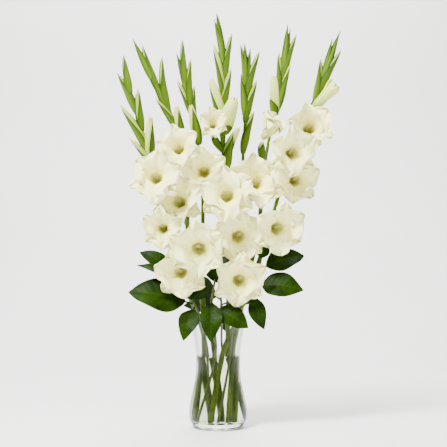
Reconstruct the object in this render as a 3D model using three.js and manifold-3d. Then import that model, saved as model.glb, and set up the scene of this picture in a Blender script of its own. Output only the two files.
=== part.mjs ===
// Cut white gladioli with broad filler leaves, standing in a clear glass vase with water.
// Millimetres, +Z up. The origin is the centre of the vase's foot, and the flowers face -Y.
import * as THREE from "three";
import { mergeVertices } from "three/addons/utils/BufferGeometryUtils.js";
import Module from "manifold-3d";

const wasm = await Module();
wasm.setup();

// Driving dimensions: the vase, an hourglass with a wide belly low down and a narrow waist.
const VASE_HEIGHT = 222;
const FOOT_RADIUS = 44;
const BELLY_RADIUS = 60;
const BELLY_HEIGHT = 30;
const WAIST_RADIUS = 46;
const WAIST_LOW = 122;
const WAIST_HIGH = 148;
const RIM_RADIUS = 59;
const RIM_FLARE = 1.5; // exponent of the flare from the waist to the rim
const GLASS_WALL = 3;
const GLASS_FLOOR = 13;
const FLOOR_CORNER = 7;
const WATER_LEVEL = 147;

// Driving dimensions: the gladioli.
const STEM_RADIUS = 5.6;
const STEM_TIP_SHARE = 0.35; // the stem's radius at its tip, as a share
const FLORET_DEPTH = 42; // from the throat to the rim
const TEPALS = 6;
const TEPAL_THICKNESS = 1.7;
const TEPAL_NOTCH = 0.17; // share of the radius lost between two tepals
const TEPAL_CURL = 7; // how far a tepal's tip rolls back
const TUBE_RADIUS = 4.4;
const TUBE_BACK = 30; // how far behind its throat a floret's tube turns down
const TUBE_RISE = 32; // height that the tube gains from its node to that turn
const TUBE_SEAT = 0.36; // share of the tube's line at which the tube itself starts, deep in its spathe
const SPATHE_END = 0.66; // share of the tube's line at which the spathe ends
const SPATHE_WALL = 3;

// Driving dimensions: the filler sprigs and their leaves.
const SPRIG_RADIUS = 2.6;
const LEAF_THICKNESS = 1.5;
const LEAF_FOLD = 0.22; // how steeply the two halves of a blade rise from its midrib
const STALK_WIDTH = 3;
const STALK_SHARE = 0.14; // share of a leaf's length that is stalk

const CLEARANCE = 0.3; // between pieces that touch

// How finely round and bent shapes are divided.
const VASE_SIDES = 28;
const OUTSIDE_STEP = 16;
const INSIDE_STEP = 24;
const STEM_SIDES = 6;
const STEM_STEPS = 10;
const BUD_SIDES = 5;
const TUBE_STEPS = 3;
const LEAF_STEPS = 7;
const WELD = 1e-4;

// Outlines. A bud's is given as shares of half its width and of its length, and the inner face of a
// floret's funnel, from the throat to the rim, as shares of its radius and of its depth.
const BUD_OUTLINE = [[0, 0], [0.5, 0.04], [1, 0.36], [0.7, 0.74], [0, 1]];
const FUNNEL = [[0.15, 0.16], [0.3, 0.5], [0.62, 0.86], [1, 1]];

// Finishes.
const CLEAR_GLASS = { color: 0xe6efec, roughness: 0.05, metalness: 0, transparent: true, opacity: 0.3 };
const CLEAR_WATER = { color: 0xdfe9df, roughness: 0.02, metalness: 0, transparent: true, opacity: 0.4 };
const STEM_GREEN = { color: 0x6f9020, roughness: 0.5, metalness: 0 };
const PETAL_WHITE = { color: 0xf0eed8, roughness: 0.6, metalness: 0 };
const LEAF_GREEN = { color: 0x35570f, roughness: 0.35, metalness: 0 };
const TWIG_GREEN = { color: 0x5c6b2a, roughness: 0.6, metalness: 0 };

// The stems stand in a loose spiral. foot, waist and rim say where each one stands on the floor, crosses
// the waist and leaves the rim: an angle round the vase's axis, seen from above with 0 towards +X, and a
// share of the room that the glass leaves. line is the rest of its way up, to its tip.
// Each bud is [height of its base on the stem, tip x, tip y, tip height, width].
// All heights on the flowers and the leaves are above the rim.
const SPIKES = [
  {
    foot: [110, 0.6],
    waist: [145, 0.78],
    rim: [169, 0.81],
    line: [[-78, 14, 92], [-112, 14, 192], [-132, 10, 295], [-145, 6, 350], [-165, 4, 412], [-192, 2, 500]],
    buds: [
      [478, -201, 2, 557, 15],
      [435, -212, 8, 520, 16],
      [398, -170, -2, 484, 17],
      [352, -204, 0, 449, 19],
      [340, -143, -8, 425, 21],
      [322, -185, 2, 380, 15],
    ],
  },
  {
    foot: [64, 0.3],
    waist: [105, 0.8],
    rim: [135, 0.62],
    line: [[-52, 30, 95], [-66, 30, 200], [-68, 26, 310], [-78, 22, 385], [-100, 20, 430], [-145, 16, 520]],
    buds: [
      [500, -182, 14, 597, 13],
      [478, -163, 24, 583, 15],
      [436, -120, 14, 555, 17],
      [398, -131, 6, 466, 15],
      [380, -88, 6, 452, 19],
      [422, -152, 14, 540, 14],
    ],
  },
  {
    foot: [160, 0.85],
    waist: [197, 0.82],
    rim: [194, 0.64],
    line: [[-32, 0, 64], [-33, 6, 150], [-32, 6, 250], [-37, 4, 350], [-50, 2, 405], [-70, 0, 500]],
    buds: [
      [490, -76, -2, 589, 14],
      [478, -87, 4, 562, 11],
      [440, -59, -4, 547, 14],
      [428, -85, 2, 505, 12],
      [398, -51, 2, 491, 14],
      [368, -57, -12, 451, 22],
    ],
  },
  {
    foot: [4, 0.45],
    waist: [45, 0.78],
    rim: [30, 0.48],
    line: [[23, 6, 100], [19, -2, 240], [13, -4, 330], [9, -4, 420], [13, -4, 500], [10, -4, 560]],
    buds: [
      [545, -2, -4, 646, 13],
      [540, -7, -8, 631, 11],
      [502, 28, -4, 602, 14],
      [470, -8, -2, 578, 17],
      [440, 26, -10, 527, 16],
      [418, -16, -10, 508, 23],
      [388, 35, -30, 464, 34],
      [306, 30, -34, 387, 24],
      [330, 42, -28, 399, 18],
    ],
  },
  {
    foot: [329, 0.8],
    waist: [8, 0.86],
    rim: [12, 0.74],
    line: [[42, 18, 85], [48, 24, 170], [56, 24, 280], [53, 20, 350], [57, 16, 420], [60, 12, 500]],
    buds: [
      [486, 49, 10, 581, 12],
      [490, 57, 8, 583, 11],
      [478, 68, 14, 574, 12],
      [466, 87, 12, 568, 16],
      [428, 49, 4, 518, 15],
      [418, 81, 10, 505, 16],
      [352, 75, 6, 438, 17],
    ],
  },
  {
    foot: [300, 0.86],
    waist: [332, 0.86],
    rim: [350, 0.88],
    line: [[62, 12, 85], [86, 16, 190], [94, 18, 290], [108, 16, 380], [126, 12, 455], [139, 10, 530]],
    buds: [
      [520, 148, 8, 625, 14],
      [524, 154, 10, 617, 12],
      [498, 165, 10, 602, 15],
      [470, 130, 10, 564, 15],
      [436, 152, 4, 536, 18],
      [430, 118, 0, 515, 22],
    ],
  },
  {
    foot: [244, 0.7],
    waist: [285, 0.82],
    rim: [331, 0.86],
    line: [[76, -2, 95], [108, 13, 190], [135, 14, 285], [165, 12, 360], [198, 8, 440], [226, 6, 520]],
    buds: [
      [500, 259, 6, 610, 14],
      [490, 242, 2, 593, 12],
      [455, 218, 0, 548, 15],
      [470, 259, 2, 568, 16],
      [438, 250, -8, 497, 20],
    ],
  },
];

// Each floret: its spike, its throat, how many degrees it turns towards +X and tilts up, its radius, and
// its roll about its own axis. They stand at different depths, so that neighbours can overlap in view.
const FLORETS = [
  { spike: 3, throat: [-12, -20, 396], turn: 5, tilt: 20, radius: 30, roll: 8 },
  { spike: 1, throat: [-78, -45, 346], turn: -6, tilt: 10, radius: 46, roll: 10 },
  { spike: 0, throat: [-125, -55, 289], turn: -6, tilt: 5, radius: 52, roll: -8 },
  { spike: 2, throat: [-28, -40, 305], turn: 0, tilt: -2, radius: 50, roll: 5 },
  { spike: 1, throat: [-76, -30, 240], turn: -13, tilt: 10, radius: 54, roll: 0 },
  { spike: 3, throat: [19, -75, 250], turn: -3, tilt: 8, radius: 55, roll: 0 },
  { spike: 4, throat: [76, -45, 277], turn: 8, tilt: 14, radius: 56, roll: 8 },
  { spike: 6, throat: [144, -80, 338], turn: 14, tilt: 0, radius: 51, roll: 0 },
  { spike: 6, throat: [183, -45, 389], turn: 10, tilt: 8, radius: 50, roll: 12 },
  { spike: 5, throat: [154, -45, 287], turn: 12, tilt: -5, radius: 50, roll: -6 },
  { spike: 0, throat: [-110, -45, 190], turn: -5, tilt: -5, radius: 42, roll: 0 },
  { spike: 2, throat: [-37, -80, 149], turn: -2, tilt: -10, radius: 58, roll: 0 },
  { spike: 3, throat: [39, -45, 174], turn: 8, tilt: -9, radius: 56, roll: 5 },
  { spike: 5, throat: [115, -45, 190], turn: 20, tilt: -8, radius: 55, roll: 0 },
  { spike: 1, throat: [-74, -45, 100], turn: -6, tilt: -8, radius: 54, roll: 10 },
  { spike: 4, throat: [41, -45, 84], turn: 6, tilt: -5, radius: 56, roll: -6 },
  { spike: 5, throat: [99, -22, 386], turn: 62, tilt: 52, radius: 42, roll: 0 },
];

// The filler sprigs stand and lean as the spikes do. front is the side that their leaves face.
const SPRIGS = {
  left: {
    foot: [190, 0.3],
    waist: [238, 0.97],
    rim: [221, 0.85],
    line: [[-52, -30, 38], [-86, -14, 84], [-98, -8, 125]],
    front: [0, -1, 0.7],
  },
  front: {
    foot: [212, 0.95],
    waist: [262, 0.97],
    rim: [256, 0.78],
    line: [[-13, -46, 36], [-6, -26, 85], [0, -14, 120]],
    front: [0, -1, 0.7],
  },
  right: {
    foot: [270, 0.45],
    waist: [310, 0.9],
    rim: [310, 0.94],
    line: [[63, -36, 45], [84, -25, 90], [90, -16, 130]],
    front: [0, -1, 0.7],
  },
  back: {
    foot: [35, 0.95],
    waist: [75, 0.97],
    rim: [80, 0.84],
    line: [[6, 56, 45], [2, 60, 95]],
    front: [0, 1, 0.7],
  },
};

// Each leaf: its sprig, the height of its stalk on it, its tip, its width, how far its blade arches, and
// how many degrees it rolls about its own length.
const LEAVES = [
  { sprig: "left", at: 98, tip: [-163, -10, 144], width: 38, arch: 8, roll: 0 },
  { sprig: "left", at: 66, tip: [-164, -44, 118], width: 32, arch: 12, roll: 20 },
  { sprig: "left", at: 34, tip: [-182, -48, 63], width: 82, arch: 8, roll: 0 },
  { sprig: "left", at: 30, tip: [-70, -72, -36], width: 42, arch: 10, roll: 0 },
  { sprig: "left", at: 112, tip: [-64, -4, 182], width: 34, arch: 4, roll: 0 },
  { sprig: "front", at: 46, tip: [-14, -86, -38], width: 46, arch: 12, roll: 0 },
  { sprig: "front", at: 26, tip: [62, -68, -10], width: 52, arch: 8, roll: 0 },
  { sprig: "front", at: 58, tip: [-76, -48, 52], width: 40, arch: 6, roll: 0 },
  { sprig: "front", at: 74, tip: [13, -16, 148], width: 46, arch: 4, roll: 0 },
  { sprig: "right", at: 56, tip: [94, -50, -16], width: 36, arch: 14, roll: 15 },
  { sprig: "right", at: 72, tip: [175, -48, 66], width: 62, arch: 8, roll: 0 },
  { sprig: "right", at: 106, tip: [180, -14, 137], width: 56, arch: 8, roll: 0 },
  { sprig: "right", at: 124, tip: [98, -20, 166], width: 30, arch: 3, roll: 0 },
  { sprig: "back", at: 40, tip: [-80, 84, 80], width: 56, arch: 8, roll: 0 },
  { sprig: "back", at: 54, tip: [88, 82, 86], width: 56, arch: 8, roll: 0 },
  { sprig: "back", at: 26, tip: [20, 94, -30], width: 46, arch: 10, roll: 0 },
  { sprig: "back", at: 62, tip: [-14, 76, 168], width: 60, arch: 6, roll: 0 },
  { sprig: "back", at: 16, tip: [-74, 74, 30], width: 44, arch: 6, roll: 0 },
  { sprig: "back", at: 30, tip: [86, 72, 44], width: 44, arch: 6, roll: 0 },
];

const radians = THREE.MathUtils.degToRad;
const aboveRim = ([x, y, height]) => new THREE.Vector3(x, y, VASE_HEIGHT + height);

// A closed three.js geometry as a solid that can be joined and cut, and back again.
function solid(geometry) {
  const bare = geometry.clone();
  bare.deleteAttribute("normal");
  bare.deleteAttribute("uv");
  const merged = mergeVertices(bare, WELD);
  const vertProperties = merged.attributes.position.array;
  const triVerts = new Uint32Array(merged.index.array);
  return new wasm.Manifold(new wasm.Mesh({ numProp: 3, vertProperties, triVerts }));
}

function geometryOf(body) {
  const mesh = body.getMesh();
  const geometry = new THREE.BufferGeometry();
  geometry.setAttribute("position", new THREE.BufferAttribute(mesh.vertProperties, 3));
  geometry.setIndex(new THREE.BufferAttribute(mesh.triVerts, 1));
  geometry.computeVertexNormals();
  return geometry;
}

// A body cut back by each of the others.
const clearOf = (body, others) => others.reduce((left, other) => left.subtract(other), body);

// Moves every vertex of a geometry by a function that changes the vector it is given.
function reshape(geometry, change) {
  const positions = geometry.attributes.position;
  const point = new THREE.Vector3();
  for (let i = 0; i < positions.count; i++) {
    change(point.fromBufferAttribute(positions, i));
    positions.setXYZ(i, point.x, point.y, point.z);
  }
  return geometry;
}

// A solid of revolution about Z from [radius, height] points that start and end on the axis.
function turned(profile, sides) {
  const points = profile.map(([r, z]) => new THREE.Vector2(r, z));
  return new THREE.LatheGeometry(points, sides).rotateX(Math.PI / 2);
}

// A round bar along a curve, with its radius at each share of the length.
function bar(curve, radiusAt, sides, steps) {
  const corners = Array.from({ length: sides }, (_, i) => (2 * Math.PI * i) / sides);
  const section = new THREE.Shape(corners.map((a) => new THREE.Vector2(Math.cos(a), Math.sin(a))));
  const geometry = new THREE.ExtrudeGeometry(section, { steps, extrudePath: curve });
  const centres = curve.getSpacedPoints(steps);
  return reshape(geometry, (point) => {
    const distances = centres.map((centre) => centre.distanceTo(point));
    const nearest = distances.indexOf(Math.min(...distances));
    point.sub(centres[nearest]).multiplyScalar(radiusAt(nearest / steps)).add(centres[nearest]);
  });
}

// The point where a rising curve reaches a height.
function pointAtHeight(curve, z) {
  let low = 0;
  let high = 1;
  while (high - low > WELD) {
    const middle = (low + high) / 2;
    if (curve.getPoint(middle).z < z) low = middle;
    else high = middle;
  }
  return curve.getPoint(high);
}

// The vase's outer radius at a height: foot, belly, waist and flaring rim.
function vaseRadius(z) {
  if (z < BELLY_HEIGHT) {
    const drop = 1 - z / BELLY_HEIGHT;
    return FOOT_RADIUS + (BELLY_RADIUS - FOOT_RADIUS) * Math.sqrt(1 - drop * drop);
  }
  if (z < WAIST_LOW) {
    const share = (z - BELLY_HEIGHT) / (WAIST_LOW - BELLY_HEIGHT);
    return BELLY_RADIUS + ((WAIST_RADIUS - BELLY_RADIUS) * (1 - Math.cos(Math.PI * share))) / 2;
  }
  const share = Math.max(0, (z - WAIST_HIGH) / (VASE_HEIGHT - WAIST_HIGH));
  return WAIST_RADIUS + (RIM_RADIUS - WAIST_RADIUS) * share ** RIM_FLARE;
}

const innerRadius = (z) => vaseRadius(z) - GLASS_WALL;

// Heights at which the wall is drawn between two levels, both ends included.
function levels(low, high, step) {
  const count = Math.round((high - low) / step);
  return Array.from({ length: count + 1 }, (_, i) => low + ((high - low) * i) / count);
}

// The vase's inside, taken in by a gap, as a profile from the axis at the floor up to the rim.
function cavityProfile(gap) {
  const floor = GLASS_FLOOR + gap;
  const corner = floor + FLOOR_CORNER;
  const wall = levels(corner, VASE_HEIGHT, INSIDE_STEP).map((z) => [innerRadius(z) - gap, z]);
  return [[0, floor], [innerRadius(corner) - gap - FLOOR_CORNER, floor], ...wall];
}

function vase() {
  const outside = levels(0, VASE_HEIGHT, OUTSIDE_STEP).map((z) => [vaseRadius(z), z]);
  return solid(turned([[0, 0], ...outside, ...cavityProfile(0).reverse()], VASE_SIDES));
}

// The water fills the vase up to its level, round the stems.
function water(stems) {
  const cavity = turned([...cavityProfile(CLEARANCE), [0, VASE_HEIGHT]], VASE_SIDES);
  const pool = turned([[0, 0], [BELLY_RADIUS, 0], [BELLY_RADIUS, WATER_LEVEL], [0, WATER_LEVEL]], VASE_SIDES);
  return clearOf(solid(cavity).intersect(solid(pool)), stems);
}

// A point in the vase at a height, for a stem of a given radius.
function inVase(z, [angle, share], radius) {
  const reach = share * (innerRadius(z) - radius - CLEARANCE);
  return new THREE.Vector3(reach * Math.cos(radians(angle)), reach * Math.sin(radians(angle)), z);
}

// The centre line of a stem, from its cut end on the vase's floor to its tip.
function centreLine({ foot, waist, rim, line }, radius) {
  const standing = inVase(GLASS_FLOOR + FLOOR_CORNER, foot, radius + FLOOR_CORNER);
  const crossing = inVase(WAIST_HIGH, waist, radius);
  const sideways = Math.hypot(crossing.x - standing.x, crossing.y - standing.y);
  const lean = sideways / crossing.distanceTo(standing);
  standing.z = GLASS_FLOOR + CLEARANCE + radius * lean;
  const points = [standing, crossing, inVase(VASE_HEIGHT, rim, radius), ...line.map(aboveRim)];
  return new THREE.CatmullRomCurve3(points, false, "catmullrom", 0.5);
}

function spikeStem(line, grow) {
  const radiusAt = (share) => (STEM_RADIUS + grow) * (1 - (1 - STEM_TIP_SHARE) * share ** 2);
  return solid(bar(line, radiusAt, STEM_SIDES, STEM_STEPS));
}

function sprigStem(line, grow) {
  return solid(bar(line, () => SPRIG_RADIUS + grow, STEM_SIDES, STEM_STEPS));
}

// A closed bud: a slim pointed spindle from its base on the stem to its tip.
function bud(line, [baseHeight, x, y, tipHeight, width]) {
  const base = pointAtHeight(line, VASE_HEIGHT + baseHeight);
  const axis = aboveRim([x, y, tipHeight]).sub(base);
  const outline = BUD_OUTLINE.map(([r, along]) => [(r * width) / 2, along * axis.length()]);
  const turn = new THREE.Quaternion().setFromUnitVectors(new THREE.Vector3(0, 0, 1), axis.normalize());
  const spindle = turned(outline, BUD_SIDES).applyQuaternion(turn);
  return solid(spindle.translate(base.x, base.y, base.z));
}

// A floret's frame: the throat at its origin, the flower opening along its Z, and its top along its Y.
function floretFrame({ throat, turn, tilt, roll }) {
  const frame = new THREE.Matrix4().makeRotationZ(radians(turn));
  frame.multiply(new THREE.Matrix4().makeRotationX(radians(90 - tilt)));
  frame.multiply(new THREE.Matrix4().makeRotationZ(radians(roll)));
  return frame.setPosition(aboveRim(throat));
}

// The line of a floret's tube, from its node inside the stem to its throat.
function tubeLine(spec, line) {
  const behind = new THREE.Vector3(0, 0, -TUBE_BACK).applyMatrix4(floretFrame(spec));
  const node = pointAtHeight(line, behind.z - TUBE_RISE);
  return new THREE.QuadraticBezierCurve3(node, behind, aboveRim(spec.throat));
}

// The stretch of a curve between two shares of it.
function stretch(curve, from, to) {
  const shares = Array.from({ length: TUBE_STEPS + 1 }, (_, i) => from + ((to - from) * i) / TUBE_STEPS);
  return new THREE.CatmullRomCurve3(shares.map((share) => curve.getPoint(share)));
}

function tube(spec, line, grow) {
  const path = stretch(tubeLine(spec, line), TUBE_SEAT, 1);
  return solid(bar(path, () => TUBE_RADIUS + grow, BUD_SIDES, TUBE_STEPS));
}

// The green spathe round the foot of a floret's tube, widest just past its middle, with a seat for the
// tube.
function spathe(spec, line) {
  const path = stretch(tubeLine(spec, line), 0, SPATHE_END);
  const widest = TUBE_RADIUS + CLEARANCE + SPATHE_WALL;
  const radiusAt = (share) => widest * (0.6 + 0.4 * Math.sin(Math.PI * (0.1 + 0.65 * share)));
  return solid(bar(path, radiusAt, BUD_SIDES, TUBE_STEPS)).subtract(tube(spec, line, CLEARANCE));
}

// A funnel of six tepals, notched between them and rolled back at their tips, on its bent tube.
function floret(spec, line, grow) {
  const inner = FUNNEL.map(([r, z]) => [r * spec.radius + grow, z * FLORET_DEPTH + grow]);
  const outer = FUNNEL.map(([r, z]) => {
    const thinning = TEPAL_THICKNESS * (1 - r);
    return [r * spec.radius + grow + thinning, z * FLORET_DEPTH - TEPAL_THICKNESS - grow];
  });
  const profile = [[0, -TEPAL_THICKNESS - grow], ...outer, ...inner.reverse(), [0, grow]];
  const funnel = reshape(turned(profile, 2 * TEPALS), (point) => {
    const share = Math.min(1, Math.hypot(point.x, point.y) / spec.radius);
    const lobe = (1 + Math.cos(TEPALS * (Math.atan2(point.y, point.x) - Math.PI / 2))) / 2;
    const notch = 1 - TEPAL_NOTCH * share ** 2 * (1 - lobe);
    point.set(point.x * notch, point.y * notch, point.z - TEPAL_CURL * share ** 4 * lobe);
  });
  return solid(funnel.applyMatrix4(floretFrame(spec))).add(tube(spec, line, grow));
}

// Half of a leaf's width at a share of its length: a thin stalk, then a broad blade with a pointed tip.
function halfWidth(share, width) {
  const blade = THREE.MathUtils.clamp((share - STALK_SHARE) / (1 - STALK_SHARE), 0, 1);
  return Math.max(STALK_WIDTH / 2, (width / 2) * Math.sin(Math.PI * blade ** 0.8));
}

// A leaf on its sprig: a thin blade, arched along its length and folded at its midrib.
function leaf({ sprig, at, tip, width, arch, roll }, line) {
  const base = pointAtHeight(line, VASE_HEIGHT + at);
  const axis = aboveRim(tip).sub(base);
  const length = axis.length();
  axis.normalize();
  base.addScaledVector(axis, SPRIG_RADIUS / 2);
  const side = new THREE.Vector3(...SPRIGS[sprig].front).cross(axis).normalize();
  side.applyAxisAngle(axis, radians(roll));
  const normal = axis.clone().cross(side);
  const slab = new THREE.BoxGeometry(1, 1, 1, LEAF_STEPS, 2, 1);
  const blade = reshape(slab, (point) => {
    const share = point.x + 0.5;
    const across = 2 * point.y * halfWidth(share, width);
    const rise = arch * Math.sin(Math.PI * share) + LEAF_FOLD * Math.abs(across);
    const lift = rise + LEAF_THICKNESS * point.z;
    point.copy(base).addScaledVector(axis, length * share).addScaledVector(side, across);
    point.addScaledVector(normal, lift);
  });
  return solid(blade);
}

const group = new THREE.Group();

function place(name, body, finish) {
  const mesh = new THREE.Mesh(geometryOf(body), new THREE.MeshStandardMaterial(finish));
  mesh.name = name;
  group.add(mesh);
}

const numbered = (name, i) => `${name}_${String(i + 1).padStart(2, "0")}`;

const spikeLines = SPIKES.map((spike) => centreLine(spike, STEM_RADIUS));
const sprigLines = {};
for (const [name, sprig] of Object.entries(SPRIGS)) sprigLines[name] = centreLine(sprig, SPRIG_RADIUS);

// The room that each piece takes, with the clearance round it.
const stemRoom = [
  ...spikeLines.map((line) => spikeStem(line, CLEARANCE)),
  ...Object.values(sprigLines).map((line) => sprigStem(line, CLEARANCE)),
];
const floretRoom = FLORETS.map((spec) => floret(spec, spikeLines[spec.spike], CLEARANCE));

place("glass_vase", vase(), CLEAR_GLASS);
place("water", water(stemRoom), CLEAR_WATER);

SPIKES.forEach((spike, i) => {
  const line = spikeLines[i];
  const own = FLORETS.filter((spec) => spec.spike === i);
  const grown = [...spike.buds.map((row) => bud(line, row)), ...own.map((spec) => spathe(spec, line))];
  const body = grown.reduce((joined, piece) => joined.add(piece), spikeStem(line, 0));
  place(numbered("gladiolus", i), clearOf(body, own.map((spec) => tube(spec, line, CLEARANCE))), STEM_GREEN);
});

// Where two florets press on each other, the one further back gives way.
FLORETS.forEach((spec, i) => {
  const ahead = (other, j) => spec.throat[1] - other.throat[1] || i - j;
  const inFront = floretRoom.filter((_, j) => ahead(FLORETS[j], j) > 0);
  place(numbered("floret", i), clearOf(floret(spec, spikeLines[spec.spike], 0), inFront), PETAL_WHITE);
});

for (const [name, line] of Object.entries(sprigLines)) place(`sprig_${name}`, sprigStem(line, 0), TWIG_GREEN);

// A leaf gives way to the stems and the florets that it presses on.
LEAVES.forEach((spec, i) => {
  const blade = leaf(spec, sprigLines[spec.sprig]);
  place(numbered("leaf", i), clearOf(blade, [...stemRoom, ...floretRoom]), LEAF_GREEN);
});

export default group;
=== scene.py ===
"""Cut white gladioli with broad filler leaves, standing in a clear glass vase of water.

Everything is in metres, in the frame's own axes: +Z up, and the flowers face -Y. The tables repeat the
design values of the frame's model in millimetres, and MM turns them into metres.
"""

import math

import bmesh
import bpy
import numpy as np
from mathutils import Matrix, Vector


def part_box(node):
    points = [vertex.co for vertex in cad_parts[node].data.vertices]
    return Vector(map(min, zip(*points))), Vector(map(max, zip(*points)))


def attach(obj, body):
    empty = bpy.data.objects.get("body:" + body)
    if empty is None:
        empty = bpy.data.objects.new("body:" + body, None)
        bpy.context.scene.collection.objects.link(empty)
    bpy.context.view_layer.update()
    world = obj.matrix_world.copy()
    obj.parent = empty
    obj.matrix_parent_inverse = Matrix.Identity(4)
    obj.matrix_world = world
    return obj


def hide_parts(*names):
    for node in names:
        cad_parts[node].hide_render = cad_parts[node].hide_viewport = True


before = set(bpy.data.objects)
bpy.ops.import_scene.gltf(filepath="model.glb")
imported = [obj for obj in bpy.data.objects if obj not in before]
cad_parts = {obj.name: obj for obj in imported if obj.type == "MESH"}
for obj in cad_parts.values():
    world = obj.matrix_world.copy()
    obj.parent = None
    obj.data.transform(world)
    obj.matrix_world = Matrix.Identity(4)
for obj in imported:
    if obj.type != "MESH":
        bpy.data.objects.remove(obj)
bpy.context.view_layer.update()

MM = 0.001

# The vase. Its height and its belly come from the frame.
VASE_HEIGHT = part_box("glass_vase")[1].z
BELLY_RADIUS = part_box("glass_vase")[1].x
WATER_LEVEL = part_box("water")[1].z
FOOT_RADIUS = 44 * MM
BELLY_HEIGHT = 30 * MM
WAIST_RADIUS = 46 * MM
WAIST_LOW = 122 * MM
WAIST_HIGH = 148 * MM
RIM_RADIUS = 59 * MM
RIM_FLARE = 1.5
GLASS_WALL = 3 * MM
GLASS_FLOOR = 13 * MM
FLOOR_CORNER = 7 * MM
FLOOR_DOME = 1.2 * MM  # the floor's rise towards the vase's axis
CLEARANCE = 0.3 * MM

# The flowers and the leaves.
STEM_RADIUS = 5.6 * MM
STEM_TIP_SHARE = 0.35
STEM_LEANNESS = 0.94  # leaves room within the stem's radius for its swellings
CUT_SHARE = 0.8  # the cut end's radius as a share of the stem's
FLORET_DEPTH = 42 * MM
TUBE_BACK = 30 * MM
TUBE_RISE = 32 * MM
SPATHE_END = 0.66
SPRIG_RADIUS = 2.6 * MM
LEAF_FOLD = 0.22
STALK_SHARE = 0.14
LEAF_VEINS = 9  # side veins on each half
VEIN_SLANT = 1.6  # how far a vein runs towards the tip on its way out, in gaps between veins
VEIN_DEPTH = 0.45 * MM
LEAF_THICKNESS = 0.6 * MM
STALK_THICKNESS = 2.2 * MM
MIDRIB_THICKNESS = 1.6 * MM

# The gladioli. foot, waist and rim say where a stem stands, crosses the waist and leaves the rim: an
# angle round the vase's axis and a share of the room in the glass. line is the rest of its way up.
# Each bud is [height of its base on the stem, tip x, tip y, tip height, width, ripeness]. Ripeness
# goes from 0, closed and green, to 1, all cream. Above 1 the tip has begun to flare. Heights on
# flowers and leaves are above the rim.
SPIKES = [
    {
        "foot": [110, 0.6], "waist": [145, 0.78], "rim": [169, 0.81],
        "line": [[-78, 14, 92], [-112, 14, 192], [-132, 10, 295],
                 [-145, 6, 350], [-165, 4, 412], [-192, 2, 500]],
        "buds": [
            [478, -201, 2, 557, 15, 0],
            [435, -212, 8, 520, 16, 0],
            [398, -170, -2, 484, 17, 0.25],
            [352, -204, 0, 449, 19, 0.45],
            [340, -143, -8, 425, 21, 0.65],
            [322, -185, 2, 380, 15, 0.45],
        ],
    },
    {
        "foot": [64, 0.3], "waist": [105, 0.8], "rim": [135, 0.62],
        "line": [[-52, 30, 95], [-66, 30, 200], [-68, 26, 310],
                 [-78, 22, 385], [-100, 20, 430], [-145, 16, 520]],
        "buds": [
            [500, -182, 14, 597, 13, 0],
            [478, -163, 24, 583, 15, 0],
            [436, -120, 14, 555, 17, 0],
            [398, -131, 6, 466, 15, 0.4],
            [380, -88, 6, 452, 19, 0.65],
            [422, -152, 14, 540, 14, 0],
        ],
    },
    {
        "foot": [160, 0.85], "waist": [197, 0.82], "rim": [194, 0.64],
        "line": [[-32, 0, 64], [-33, 6, 150], [-32, 6, 250],
                 [-37, 4, 350], [-50, 2, 405], [-70, 0, 500]],
        "buds": [
            [490, -76, -2, 589, 14, 0],
            [478, -87, 4, 562, 11, 0],
            [440, -59, -4, 547, 14, 0],
            [428, -85, 2, 505, 12, 0.35],
            [398, -51, 2, 491, 14, 0],
            [368, -57, -12, 451, 22, 0.55],
        ],
    },
    {
        "foot": [4, 0.45], "waist": [45, 0.78], "rim": [30, 0.48],
        "line": [[23, 6, 100], [19, -2, 240], [13, -4, 330],
                 [9, -4, 420], [13, -4, 500], [10, -4, 560]],
        "buds": [
            [545, -2, -4, 646, 13, 0],
            [540, -7, -8, 631, 11, 0],
            [502, 28, -4, 602, 14, 0.1],
            [470, -8, -2, 578, 17, 0.45],
            [440, 26, -10, 527, 16, 0.35],
            [418, -16, -10, 508, 23, 0.7],
            [388, 35, -30, 464, 34, 1],
            [306, 30, -34, 387, 24, 0.1],
            [330, 42, -28, 399, 18, 0.75],
        ],
    },
    {
        "foot": [329, 0.8], "waist": [8, 0.86], "rim": [12, 0.74],
        "line": [[42, 18, 85], [48, 24, 170], [56, 24, 280],
                 [53, 20, 350], [57, 16, 420], [60, 12, 500]],
        "buds": [
            [486, 49, 10, 581, 12, 0],
            [490, 57, 8, 583, 11, 0],
            [478, 68, 14, 574, 12, 0],
            [466, 87, 12, 568, 16, 0.15],
            [428, 49, 4, 518, 15, 0.1],
            [418, 81, 10, 505, 16, 0.25],
            [352, 75, 6, 438, 17, 0],
        ],
    },
    {
        "foot": [300, 0.86], "waist": [332, 0.86], "rim": [350, 0.88],
        "line": [[62, 12, 85], [86, 16, 190], [94, 18, 290],
                 [108, 16, 380], [126, 12, 455], [139, 10, 530]],
        "buds": [
            [520, 148, 8, 625, 14, 0],
            [524, 154, 10, 617, 12, 0],
            [498, 165, 10, 602, 15, 0],
            [470, 130, 10, 564, 15, 0.25],
            [436, 152, 4, 536, 18, 0.4],
            [430, 118, 0, 515, 22, 0.85],
        ],
    },
    {
        "foot": [244, 0.7], "waist": [285, 0.82], "rim": [331, 0.86],
        "line": [[76, -2, 95], [108, 13, 190], [135, 14, 285],
                 [165, 12, 360], [198, 8, 440], [226, 6, 520]],
        "buds": [
            [500, 259, 6, 610, 14, 0],
            [490, 242, 2, 593, 12, 0],
            [455, 218, 0, 548, 15, 0],
            [470, 259, 2, 568, 16, 0.1],
            [438, 250, -8, 497, 20, 1.2],
        ],
    },
]

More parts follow.
